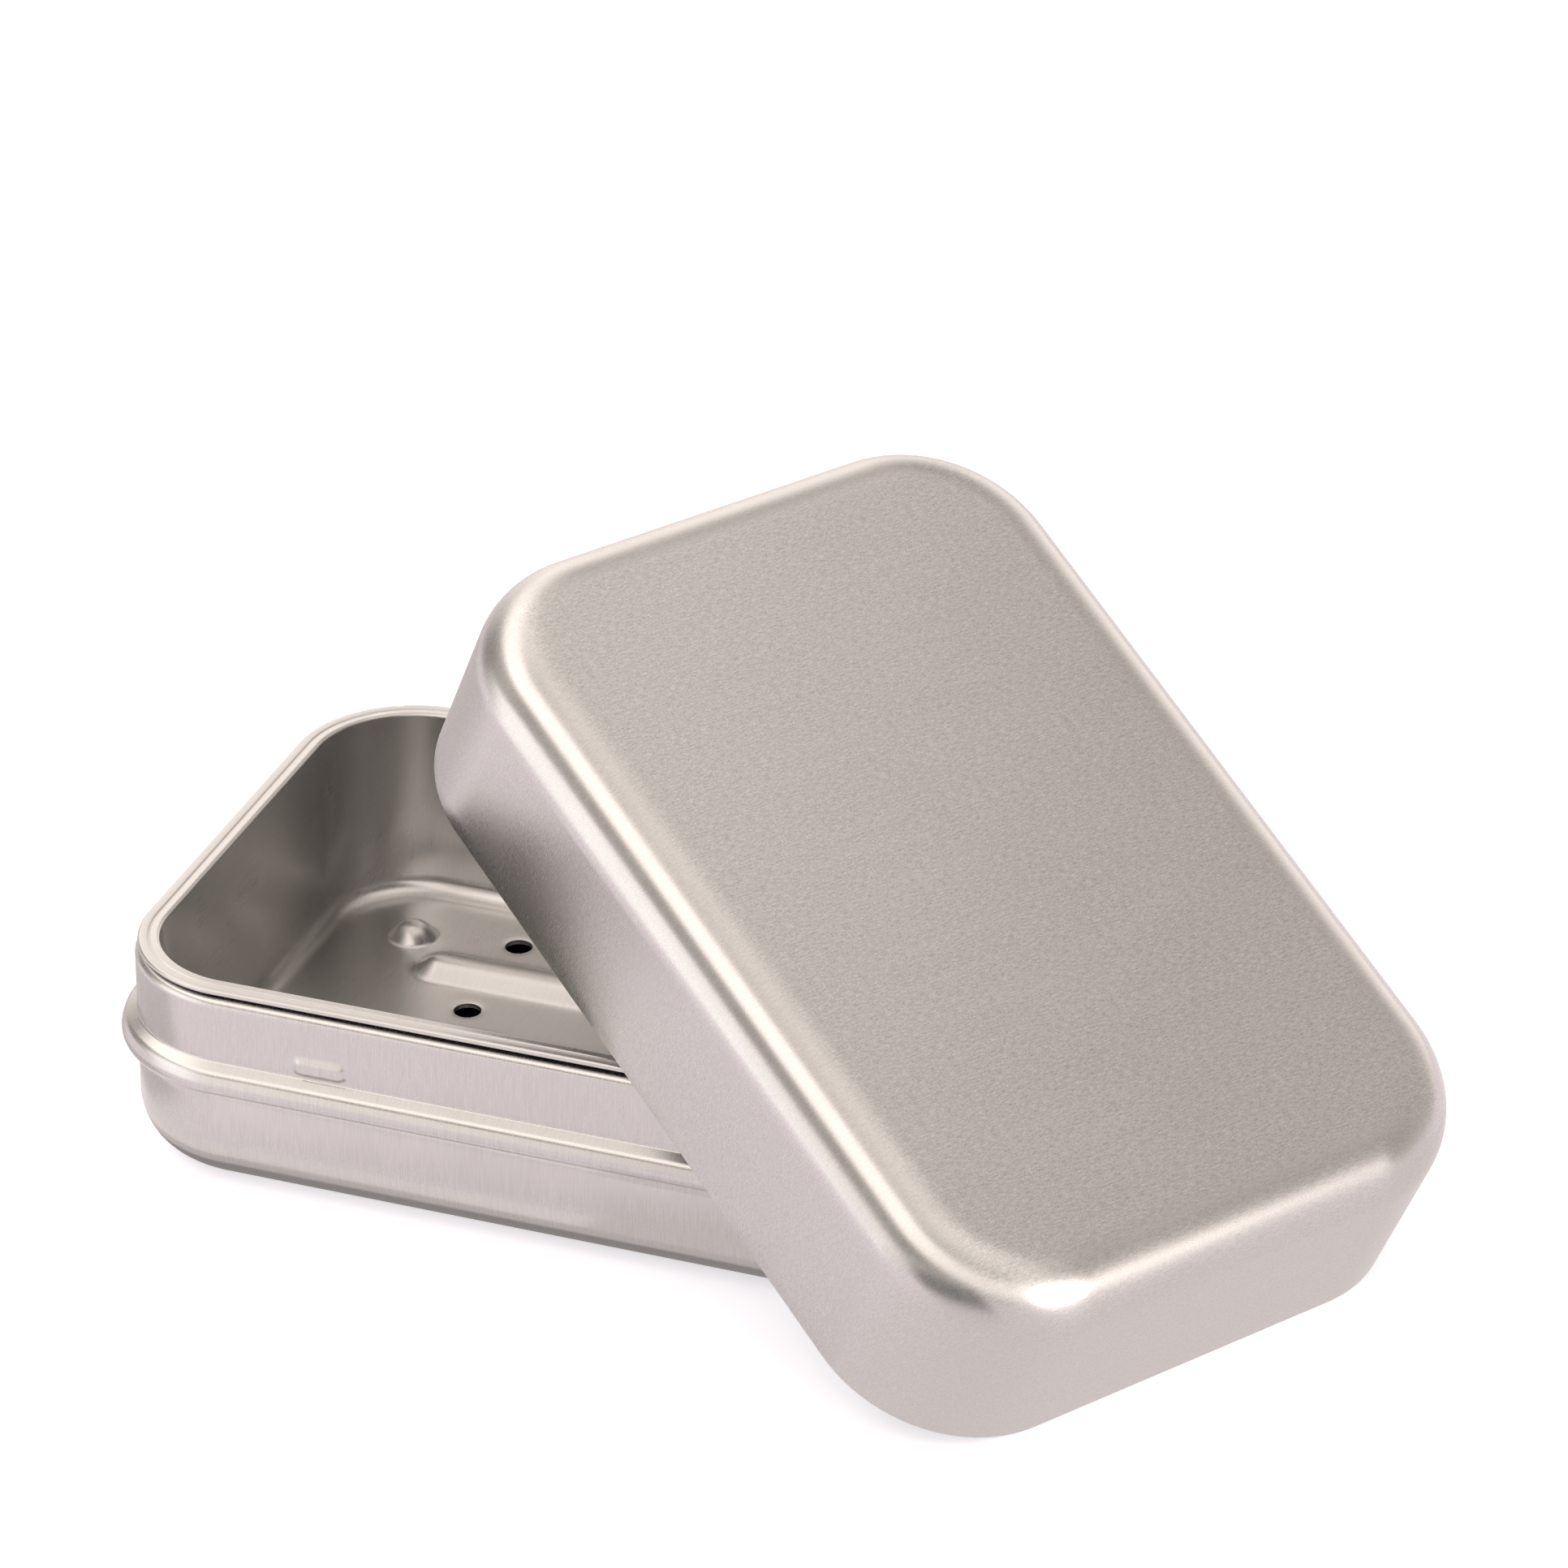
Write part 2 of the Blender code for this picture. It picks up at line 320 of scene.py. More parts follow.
def base_profile():
    """Up the outside of the base and down its inside, with the row of its raw edge."""
    foot = arc((FOOT_RADIUS, FOOT_RADIUS), (FOOT_RADIUS, FOOT_RADIUS), 270, 180, 14)
    low = BEAD_LEVEL - BEAD_TALL / 2
    high = BEAD_LEVEL + BEAD_TALL / 2 + BEAD_RISE
    curl = low + CURL_LIFT + BEAD_CURL
    root = low + CURL_LIFT
    bead = [(0, low - BLEND_LENGTH), (0, root - CURL_ROOT), (-CURL_ROOT, root)]
    bead += arc((0, curl), (BEAD_PROUD, BEAD_CURL), CURL_START, 180, 14)
    bead += soften([bead[-1], (-BEAD_PROUD, curl + SIDE_FLAT, SIDE_CUT),
                    (-BEAD_ROUND, high - BEAD_SLOPE * BEAD_ROUND, ROLL_CUT),
                    (0, high, NECK_CUT), (0, high + SIDE_FLAT, 0)], 10)[1:]
    shoulder = (SHOULDER_RADIUS, BASE_HEIGHT - SHOULDER_RADIUS)
    neck = straight(bead[-1], (0, shoulder[1]), NECK_STEP)
    turn = arc(shoulder, (SHOULDER_RADIUS, SHOULDER_RADIUS), 180, 90, 8)
    outside = [(FOOT_RADIUS + FLAT_MARGIN, 0)] + foot + bead + neck + turn
    outside.append((LIP_REACH, BASE_HEIGHT))
    fold = len(outside) - 1
    inner = [(LIP_REACH, BASE_HEIGHT - SHEET)]
    under = SHOULDER_RADIUS - SHEET
    inner += arc(shoulder, (under, under), 90, 180, 6)
    inner += arc((SHEET, BEAD_LEVEL), (BEAD_PROUD, BEAD_TALL / 2 - SHEET), 90, 270, 14)
    within = FOOT_RADIUS - SHEET
    inner += arc((FOOT_RADIUS, FOOT_RADIUS), (within, within), 180, 270, 10)
    inner.append((FOOT_RADIUS + FLAT_MARGIN, SHEET))
    return outside + inner, fold


# %% [markdown]
# The lid slides down over the four stops, so each one is a small ramp: it leans out gently from its top
# edge and drops back steeply at its lower edge. They could be pieces of their own, laid on the neck,
# but a seam would show where the real sheet has none. So the neck's own points are pushed outwards.

# %% Stops pressed out of the neck
STOP_LENGTH = 6.2 * MM
STOP_TALL = 2.3 * MM
STOP_PROUD = 0.34 * MM
STOP_SPACING = 46.6 * MM
STOP_CLEAR = 0.85 * MM
STOP_LEVEL = BEAD_LEVEL + BEAD_TALL / 2 + STOP_CLEAR + STOP_TALL / 2
STOP_FLANK = 0.70 * MM
STOP_LEAN = 0.75
STOP_FOOT = 0.02 * MM
STOP_BROW = 0.10 * MM
STOP_END_RADIUS = 0.95 * STOP_TALL / 2


def raise_stops(points, outside_rows):
    """Push the wall outwards inside each stop's rounded outline, gently at its top, steeply below."""
    wall = points[:outside_rows].reshape(-1, 3)
    for side in (-1, 1):
        for end in (-1, 1):
            flat = np.column_stack([wall[:, 0] - end * STOP_SPACING / 2, wall[:, 2] - STOP_LEVEL])
            depth = inside_depth(flat, STOP_LENGTH / 2, STOP_TALL / 2, STOP_END_RADIUS)
            flank = STOP_FLANK * (1 + STOP_LEAN * np.clip(flat[:, 1] / (STOP_TALL / 2), -1, 1))
            lift = pressed(depth, flank, STOP_PROUD, STOP_FOOT, STOP_BROW)
            near = (wall[:, 1] * side > BASE_WIDTH / 2 - SHEET) & (depth > -STOP_TALL / 4)
            wall[near, 1] += side * lift[near]
    points[:outside_rows] = wall.reshape(outside_rows, -1, 3)
    return points


# %% Make the base
def capped_sheet(name, points, places):
    """Close the rows with a flat face at each end."""
    rows, count = points.shape[:2]
    faces = ring_faces(rows, count)
    faces.append(tuple(reversed(range(count))))
    faces.append(tuple(range((rows - 1) * count, rows * count)))
    return sheet_object(name, points.reshape(-1, 3), places.reshape(-1, 2), faces)


def make_base():
    profile, fold = base_profile()
    outline_size = (BASE_LENGTH, BASE_WIDTH, BASE_CORNER_RADIUS, BASE_STEP)
    points, places = pressed_rows(outline_size, profile, fold)
    points = raise_stops(points, fold)
    return capped_sheet("base_shell", points, places)


base = make_base()

# %% [markdown]
# ## The drain tray
# The tray is a second, slightly smaller drawing. Its edge is folded out into a flange that hangs on the
# neck of the base. The flange has three lines that catch the light: a rolled outer edge, a fine groove
# where the fold closes, and a small raised lip at the top of the wall.

# %% Profile of the tray
TRAY_SHEET = 0.5 * MM
SEAT_GAP = 0.3 * MM
FLANGE_SETBACK = 0.3 * MM
FLANGE_ROLL = 0.3 * MM
ROLL_STEPS = 12
FLANGE_UNDER = 0.7 * MM
FLANGE_CUT = 0.3 * MM
GROOVE_INSET = 1.5 * MM
GROOVE_HALF = 0.16 * MM
GROOVE_CUT = 0.08 * MM
GROOVE_BOTTOM_CUT = 0.07 * MM
LIP_RISE = 0.06 * MM
LIP_ROUND = 0.35 * MM
LIP_SPREAD = 1.15
LIP_CUT = 0.12 * MM
TRAY_WALL_INSET = 2.65 * MM
TRAY_FLOOR_RADIUS = 2.0 * MM
DRIP_GAP = 0.85 * MM

TRAY_SEAT = BASE_HEIGHT + SEAT_GAP
TRAY_FLOOR = SHEET + DRIP_GAP + TRAY_SHEET
FLOOR_INSET = TRAY_WALL_INSET + TRAY_FLOOR_RADIUS


def tray_profile():
    """From under the floor up the outside, over the flange and down the inside."""
    wall = TRAY_WALL_INSET - TRAY_SHEET
    outer = TRAY_FLOOR_RADIUS + TRAY_SHEET
    centre = (FLOOR_INSET, TRAY_FLOOR + TRAY_FLOOR_RADIUS)
    outside = arc(centre, (outer, outer), 270, 180, 12)
    outside += soften([outside[-1], (wall, TRAY_SEAT, FLANGE_CUT), (wall - FLANGE_UNDER, TRAY_SEAT, 0)],
                      4)[1:]
    roll = (FLANGE_SETBACK + FLANGE_ROLL, TRAY_SEAT + FLANGE_ROLL)
    outside += arc(roll, (FLANGE_ROLL, FLANGE_ROLL), 270, 90, ROLL_STEPS)
    fold = len(outside) - ROLL_STEPS // 2
    top = TRAY_SEAT + 2 * FLANGE_ROLL
    crest = top + LIP_RISE
    outside += soften([(roll[0], top, 0), (GROOVE_INSET - GROOVE_HALF, top, GROOVE_CUT),
                       (GROOVE_INSET, top - GROOVE_HALF / 2, GROOVE_BOTTOM_CUT),
                       (GROOVE_INSET + GROOVE_HALF, top, GROOVE_CUT),
                       (TRAY_WALL_INSET - LIP_ROUND * LIP_SPREAD, crest, LIP_CUT),
                       (TRAY_WALL_INSET - LIP_ROUND, crest, 0)], 5)[1:]
    outside += arc((TRAY_WALL_INSET - LIP_ROUND, crest - LIP_ROUND), (LIP_ROUND, LIP_ROUND), 90, 0, 10)[1:]
    inside = arc(centre, (TRAY_FLOOR_RADIUS, TRAY_FLOOR_RADIUS), 180, 270, 18)
    return outside + inside, fold


# %% [markdown]
# The floor of the tray keeps the soap out of the wet. Three long ribs carry the bar, rows of punched
# holes drain it, and a round knob in each corner keeps it from sliding. Each rib rises in a soft slope
# to a flat top.

# %% Relief of the tray's floor
HOLE_MARGIN = 6.45 * MM
RIB_MARGIN = 10.9 * MM
RIB_WIDTH = 6.5 * MM
RIB_HEIGHT = 1.5 * MM
RIB_SLOPE = 2.0 * MM
RIB_FOOT = 0.22 * MM
RIB_BROW = 0.50 * MM
RIB_END_RADIUS = 0.98 * RIB_WIDTH / 2
HOLE_DIAMETER = 3.0 * MM
HOLE_SPACING = 23.9 * MM
HOLE_DIP = 0.10 * MM
HOLE_DIP_REACH = 0.22 * MM
KNOB_INSET = 13.0 * MM
KNOB_DIAMETER = 5.3 * MM
KNOB_HEIGHT = 1.8 * MM
KNOB_FULLNESS = 2.6
KNOB_FOOT = 0.14 * MM
KNOB_BROW = 0.10 * MM
FLOOR_STEP = 0.38 * MM
TRAY_STEP = 0.4 * MM

FLAT_HALF_LENGTH = BASE_LENGTH / 2 - FLOOR_INSET
FLAT_HALF_WIDTH = BASE_WIDTH / 2 - FLOOR_INSET
FLAT_RADIUS = BASE_CORNER_RADIUS - FLOOR_INSET
ROW_PITCH = (FLAT_HALF_WIDTH - HOLE_MARGIN) / 3
RIB_HALF_LENGTH = FLAT_HALF_LENGTH - RIB_MARGIN
KNOB_PLACES = [(side * (BASE_LENGTH / 2 - KNOB_INSET), end * (BASE_WIDTH / 2 - KNOB_INSET))
               for side in (-1, 1) for end in (-1, 1)]
HOLE_PLACES = [(column * HOLE_SPACING, row * ROW_PITCH) for row in (-3, -1, 1, 3) for column in (-1, 0, 1)]


def floor_relief(points):
    """Height of the pressings over the flat floor."""
    height = np.zeros(len(points))
    for row in (-2, 0, 2):
        shifted = points - np.array([0, row * ROW_PITCH])
        depth = inside_depth(shifted, RIB_HALF_LENGTH, RIB_WIDTH / 2, RIB_END_RADIUS)
        height += pressed(depth, RIB_SLOPE, RIB_HEIGHT, RIB_FOOT, RIB_BROW)
    for place in KNOB_PLACES:
        share = np.linalg.norm(points - np.array(place), axis=1) / (KNOB_DIAMETER / 2)
        height += pressed(1 - share ** KNOB_FULLNESS, 1, KNOB_HEIGHT, KNOB_FOOT, KNOB_BROW)
    for place in HOLE_PLACES:
        gap = np.linalg.norm(points - np.array(place), axis=1) - HOLE_DIAMETER / 2
        height -= HOLE_DIP * np.exp(-np.maximum(gap, 0) / HOLE_DIP_REACH)
    return height


# %% Rings of points round the holes and knobs
HOLE_POINTS = 40
HOLE_RING_GAPS = (0.16 * MM, 0.4 * MM)
HOLE_RING_KEEP = 0.16 * MM
KNOB_RINGS = np.arange(0.3, 3.4, 0.24)
KNOB_RING_KEEP = 0.14 * MM
KNOB_POINTS_PER_MM = 24


def hole_rings():
    return [circle(place, HOLE_DIAMETER / 2, HOLE_POINTS) for place in HOLE_PLACES]


def fine_rings():
    """Rings of extra points, each with the distance that the plain grid keeps from it."""
    rings = [(circle(place, HOLE_DIAMETER / 2 + gap, HOLE_POINTS), HOLE_RING_KEEP)
             for place in HOLE_PLACES for gap in HOLE_RING_GAPS]
    rings += [(circle(place, radius * MM, round(KNOB_POINTS_PER_MM * radius)), KNOB_RING_KEEP)
              for place in KNOB_PLACES for radius in KNOB_RINGS]
    return rings


# %% Make the tray
def floor_depth(points):
    return inside_depth(points, FLAT_HALF_LENGTH, FLAT_HALF_WIDTH, FLAT_RADIUS)


def make_tray():
    profile, fold = tray_profile()
    outline_size = (BASE_LENGTH, BASE_WIDTH, BASE_CORNER_RADIUS, TRAY_STEP)
    points, places = pressed_rows(outline_size, profile, fold)
    rows, count = points.shape[:2]
    outline = points[-1, :, :2]
    holes = hole_rings()
    flat, triangles = fill_panel(outline, floor_depth, FLOOR_STEP, holes, fine_rings())
    relief = floor_relief(flat)
    upper = np.column_stack([flat, TRAY_FLOOR + relief])[count:]
    lower = np.column_stack([flat, TRAY_FLOOR - TRAY_SHEET + relief])[count:]
    shell = points.reshape(-1, 3)
    all_points = np.concatenate([shell, upper, lower])
    all_places = np.concatenate([places.reshape(-1, 2), flat[count:], flat[count:]])
    last_row = (rows - 1) * count
    up = np.where(triangles < count, triangles + last_row, triangles - count + len(shell))
    down = np.where(triangles < count, triangles, triangles - count + len(shell) + len(upper))
    faces = ring_faces(rows, count) + [tuple(t) for t in up] + [tuple(t[::-1]) for t in down]
    first = len(shell)
    for ring in holes:
        for i in range(len(ring)):
            j = (i + 1) % len(ring)
            faces.append((first + j, first + i, first + i + len(upper), first + j + len(upper)))
        first += len(ring)
    return sheet_object("tray_shell", all_points, all_places, faces)


tray = make_tray()

# %% Hang the tray in the base
TRAY_TIP = 0.3 * MM
tip = Euler((0, -math.atan2(TRAY_TIP, BASE_LENGTH), 0)).to_matrix().to_4x4()
pivot = Matrix.Translation((-BASE_LENGTH / 2, 0, TRAY_SEAT))
tray.data.transform(pivot @ tip @ pivot.inverted())

# %% [markdown]
# ## The lid
# The lid is a plain deep cover: a flat top, a large round edge and a straight skirt that ends in a raw
# edge. It is made upright at the origin, then turned and tilted as it leans in the photograph. Its
# place could be worked out again from the rims that carry it. The frame already holds it, so the mesh
# is moved until its box meets the box of the solid.

# %% Profile of the lid
LID_CLEARANCE = 1.25 * MM
LID_HEIGHT = 23.3 * MM
LID_CORNER_RADIUS = 15.8 * MM
LID_EDGE_RADIUS = 6.6 * MM
RIM_CUT = 0.12 * MM
RIM_RUN = 2 * MM
LID_STEP = 0.8 * MM
LID_TURN = math.radians(32.5)
LID_TILT = math.radians(27.15)
LID_LENGTH = BASE_LENGTH + 2 * (LID_CLEARANCE + SHEET)
LID_WIDTH = BASE_WIDTH + 2 * (LID_CLEARANCE + SHEET)


def lid_profile():
    """Down the outside of the lid from its flat top, then up the inside of the skirt."""
    centre = (LID_EDGE_RADIUS, LID_HEIGHT - LID_EDGE_RADIUS)
    within = LID_EDGE_RADIUS - SHEET
    outside = [(LID_EDGE_RADIUS + FLAT_MARGIN, LID_HEIGHT)]
    outside += arc(centre, (LID_EDGE_RADIUS, LID_EDGE_RADIUS), 90, 180, 24)
    rim = soften([(0, RIM_RUN, 0), (0, 0, RIM_CUT), (SHEET, 0, RIM_CUT), (SHEET, RIM_RUN, 0)], 4)
    fold = len(outside) + len(rim) // 2
    inside = arc(centre, (within, within), 180, 90, 16)
    inside.append((LID_EDGE_RADIUS + FLAT_MARGIN, LID_HEIGHT - SHEET))
    return outside + rim + inside, fold


# %% Make the lid
def make_lid():
    profile, fold = lid_profile()
    outline_size = (LID_LENGTH, LID_WIDTH, LID_CORNER_RADIUS, LID_STEP)
    points, places = pressed_rows(outline_size, profile, fold)
    return capped_sheet("lid_shell", points, places)


def lean(piece):
    """Turn and tilt the lid, then move it to where the frame holds it."""
    turn = Euler((0, LID_TILT, -LID_TURN)).to_matrix().to_4x4()
    corners = np.array([turn @ vertex.co for vertex in piece.data.vertices])
    low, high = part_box("lid")
    shift = (low + high) / 2 - Vector((corners.min(axis=0) + corners.max(axis=0)) / 2)
    piece.data.transform(Matrix.Translation(shift) @ turn)
    print("lid rests at", [round(value / MM, 2) for value in shift])


lid = make_lid()
lean(lid)

# %% [markdown]
# ## Brushed aluminium
# The sheet is brushed before it is pressed. Fine lines run across its width, so they run over the long
# edges and along the short ones. Four things make that finish: streaks and specks in the colour and the
# height, a roughness that changes a little from place to place, edges that handling has polished, and
# a reflection that spreads across the lines more than along them. The last is the shader's anisotropy,
# and its direction comes from the flat-sheet map. A picture of brushed metal could be used instead,
# but it would stretch at the round edges.

# %% Helpers for shader nodes
NOISE_ROUGHNESS = 0.6
PANEL_FADE = (-1, 3)


def add_node(tree, kind, inputs=(), **settings):
    node = tree.nodes.new(kind)
    for name, value in settings.items():
        setattr(node, name, value)
    for socket, value in dict(inputs).items():
        if isinstance(value, bpy.types.NodeSocket):
            tree.links.new(value, node.inputs[socket])
        else:
            node.inputs[socket].default_value = value
    return node


def math_node(tree, operation, first, second):
    return add_node(tree, "ShaderNodeMath", {0: first, 1: second}, operation=operation).outputs[0]


def ramp(tree, value, start, end, low, high):
    """A smooth change from low to high while the value goes from start to end."""
    return add_node(tree, "ShaderNodeMapRange",
                    {"Value": value, "From Min": start, "From Max": end, "To Min": low, "To Max": high},
                    interpolation_type="SMOOTHSTEP").outputs[0]


def grain(tree, place, across, along, detail):
    """Noise with so many features a millimetre across and along the brush lines."""
    scaled = add_node(tree, "ShaderNodeVectorMath", {0: place, 1: (across, along, 1)},
                      operation="MULTIPLY").outputs[0]
    noise = add_node(tree, "ShaderNodeTexNoise",
                     {"Vector": scaled, "Scale": 1.0, "Detail": detail, "Roughness": NOISE_ROUGHNESS})
    return noise.outputs["Fac"]


def centred(tree, value, amount):
    """The noise round zero instead of round a half, times an amount."""
    return math_node(tree, "MULTIPLY", math_node(tree, "SUBTRACT", value, 0.5), amount)


def flatness(tree, place, half_size):
    """1 on a flat panel of that half size and 0 past it, told from the place on the flat sheet.

    It fades over a few millimetres at the panel's edge.
    """
    reach = add_node(tree, "ShaderNodeVectorMath", {0: place}, operation="ABSOLUTE").outputs[0]
    past = add_node(tree, "ShaderNodeVectorMath", {0: reach, 1: (*half_size, 0)},
                    operation="SUBTRACT").outputs[0]
    sides = add_node(tree, "ShaderNodeSeparateXYZ", {0: past}).outputs
    return ramp(tree, math_node(tree, "MAXIMUM", sides["X"], sides["Y"]), *PANEL_FADE, 1, 0)


# %% [markdown]
# Each grain is given as its features a millimetre across the brush lines, those along them, and its
# detail. Round outer edges are worn: there the finish is a little brighter and smoother.

# %% Strengths of the finish
ALUMINIUM = (0.64, 0.63, 0.62)
ANISOTROPY = 0.72
STREAKS_ACROSS = 6.2
STREAK_DETAIL = 3.0
SPECK_GRAIN = (4.8, 4.0, 2.0)
LINE_GRAIN = (2.6, 0.05, 2.0)
PATCH_GRAIN = (0.09, 0.05, 2.0)
WORN_EDGE = (0.51, 0.58)
BUMP_DEPTH = 0.004 * MM
WALL_SHARE = 0.4
STREAK_TONE = 0.60
LINE_TONE = 0.12
PATCH_TONE = 0.05
WORN_TONE = 0.08
PATCH_ROUGHNESS = 0.10
STREAK_ROUGHNESS = 0.12
WORN_ROUGHNESS = -0.06


# %% The finish
def brushed_aluminium(name, contrast, streak_rate, speck_share, roughness, panel=None):
    """A brushed finish.

    Contrast is how strongly the grain shows. The streak rate is how many streaks follow each other
    in a millimetre of brush line: the fewer, the longer they are. A panel is the half size of a flat
    top that keeps the full contrast, while the drawn walls past it are smoother.
    """
    material = bpy.data.materials.new(name)
    material.use_nodes = True
    tree = material.node_tree
    shader = tree.nodes["Principled BSDF"]
    shader.inputs["Metallic"].default_value = 1.0
    shader.inputs["Anisotropic"].default_value = ANISOTROPY
    place = add_node(tree, "ShaderNodeUVMap", uv_map="sheet").outputs[0]
    streaks = grain(tree, place, STREAKS_ACROSS, streak_rate, STREAK_DETAIL)
    specks = grain(tree, place, *SPECK_GRAIN)
    lines = grain(tree, place, *LINE_GRAIN)
    patches = grain(tree, place, *PATCH_GRAIN)
    convex = add_node(tree, "ShaderNodeNewGeometry").outputs["Pointiness"]
    worn = math_node(tree, "MULTIPLY", ramp(tree, convex, *WORN_EDGE, 0, 1), patches)
    strength = contrast
    if panel:
        share = ramp(tree, flatness(tree, place, panel), 0, 1, WALL_SHARE, 1)
        strength = math_node(tree, "MULTIPLY", share, contrast)
    fine = math_node(tree, "ADD", centred(tree, streaks, STREAK_TONE), centred(tree, specks, speck_share))
    lined = math_node(tree, "ADD", fine, centred(tree, lines, LINE_TONE))
    broad = math_node(tree, "ADD", centred(tree, patches, PATCH_TONE),
                      math_node(tree, "MULTIPLY", worn, WORN_TONE))
    tone = math_node(tree, "ADD", math_node(tree, "MULTIPLY", lined, strength),
                     math_node(tree, "ADD", broad, 1.0))
    colour = add_node(tree, "ShaderNodeVectorMath", {0: ALUMINIUM, 3: tone}, operation="SCALE")
    tree.links.new(colour.outputs[0], shader.inputs["Base Color"])
    uneven = math_node(tree, "ADD", centred(tree, patches, PATCH_ROUGHNESS),
                       centred(tree, streaks, STREAK_ROUGHNESS))
    polished = math_node(tree, "MULTIPLY", worn, WORN_ROUGHNESS)
    rough = math_node(tree, "ADD", math_node(tree, "ADD", uneven, polished), roughness)
    tree.links.new(rough, shader.inputs["Roughness"])
    tangent = add_node(tree, "ShaderNodeTangent", direction_type="UV_MAP", uv_map="sheet").outputs[0]
    tree.links.new(tangent, shader.inputs["Tangent"])
    height = math_node(tree, "ADD", streaks, math_node(tree, "MULTIPLY", specks, 2 * speck_share))
    height = math_node(tree, "MULTIPLY", height, strength)
    bump = add_node(tree, "ShaderNodeBump", {"Strength": 1.0, "Distance": BUMP_DEPTH, "Height": height})
    tree.links.new(bump.outputs[0], shader.inputs["Normal"])
    return material


# %% [markdown]
# The base and the tray have long, quiet streaks. The lid's top has short ones and many specks, so it
# looks like frosted metal, and its walls are smoother than its top.

# %% Finish of each piece
lid_panel = ((LID_LENGTH / 2 - LID_EDGE_RADIUS) / MM, (LID_WIDTH / 2 - LID_EDGE_RADIUS) / MM)
finishes = (brushed_aluminium("base_aluminium", contrast=0.50, streak_rate=0.3, speck_share=0.15,
                              roughness=0.27),
            brushed_aluminium("tray_aluminium", contrast=0.32, streak_rate=0.3, speck_share=0.15,
                              roughness=0.30),
            brushed_aluminium("lid_aluminium", contrast=1.35, streak_rate=1.1, speck_share=0.50,
                              roughness=0.27, panel=lid_panel))
for piece, finish in zip((base, tray, lid), finishes):
    piece.data.materials.append(finish)

# %% [markdown]
# ## Which piece moves with which body
# Each shell stands for one solid of the frame and rides on that solid's body. The solid itself is hidden.

# %% Ride on the frame
for piece, node, body, finish in ((base, "base", "base", "base_aluminium"),
                                  (tray, "drain_tray", "drain_tray", "tray_aluminium"),
                                  (lid, "lid", "lid", "lid_aluminium")):
    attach(piece, body)
    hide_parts(node)

# %% [markdown]
# ## Floor
# The floor is white and catches the shadow. Its glow is stronger to the camera than to the metal, so
# that the ground of the picture is white while the walls of the box keep their shade. A brighter lamp
# would whiten the ground too, but it would burn out the metal.

# %% Floor
WHITE_GLOW = 0.55
METAL_GLOW = 0.05
GLOW_COLOUR = (0.97, 0.98, 1.0, 1)
FLOOR_COLOUR = (0.79, 0.77, 0.84, 1)
FLOOR_SIDE = 6.0
FLOOR_DROP = 0.05 * MM
FLOOR_LEVEL = cad_bounds[0][2] - FLOOR_DROP

bpy.ops.mesh.primitive_plane_add(size=FLOOR_SIDE, location=(0, 0, FLOOR_LEVEL))
floor = bpy.context.object
floor.name = "floor"
floor_material = bpy.data.materials.new("floor_white")
floor_material.use_nodes = True
tree = floor_material.node_tree
tree.nodes.clear()
path = add_node(tree, "ShaderNodeLightPath")
seen = math_node(tree, "ADD", math_node(tree, "MULTIPLY", path.outputs["Is Camera Ray"], WHITE_GLOW),
                 math_node(tree, "MULTIPLY", path.outputs["Is Glossy Ray"], METAL_GLOW))
glow = add_node(tree, "ShaderNodeEmission", {"Color": GLOW_COLOUR, "Strength": seen})
diffuse = add_node(tree, "ShaderNodeBsdfDiffuse", {"Color": FLOOR_COLOUR})
both = add_node(tree, "ShaderNodeAddShader", {0: diffuse.outputs[0], 1: glow.outputs[0]})
add_node(tree, "ShaderNodeOutputMaterial", {"Surface": both.outputs[0]})
floor.data.materials.append(floor_material)


# %% [markdown]
# ## World
# Metal has no look of its own, so what stands round it matters as much as its finish. The world is a
# plain grey room with a slanting white band and a few soft patches, as the walls and papers of a studio
# give. A picture of a real room could light it too, but named patches are easier to place.

# %% Directions and soft patches of the world
def toward(azimuth, elevation):
    """A direction: the azimuth turns from +Y towards +X, and both are in degrees."""
    turn, rise = math.radians(azimuth), math.radians(elevation)
    return Vector((math.sin(turn) * math.cos(rise), math.cos(turn) * math.cos(rise), math.sin(rise)))


def closeness(tree, direction, azimuth, elevation):
    return add_node(tree, "ShaderNodeVectorMath", {0: direction, 1: toward(azimuth, elevation)},
                    operation="DOT_PRODUCT").outputs["Value"]


def patch(tree, direction, azimuth, elevation, wide, edge, amount):
    """A round patch of light that many degrees wide, with a soft edge."""
    outer, inner = (math.cos(math.radians(wide / 2 + side * edge)) for side in (1, -1))
    return ramp(tree, closeness(tree, direction, azimuth, elevation), outer, inner, 0, amount)


# %% [markdown]
# The room's light changes with the angle from one axis, which points up and to the right. Far from the
# axis it is dark, then comes the white band, and round the axis lies the plain grey of the canopy. The
# band has a gap at the back right, and a low wall of light stands along the horizon at the front left.
# Their edges are pairs: the cosines of the angles where a soft change starts and ends. Each patch has
# its azimuth, elevation, width and edge in degrees, and an amount that is below zero where the room
# gets darker.

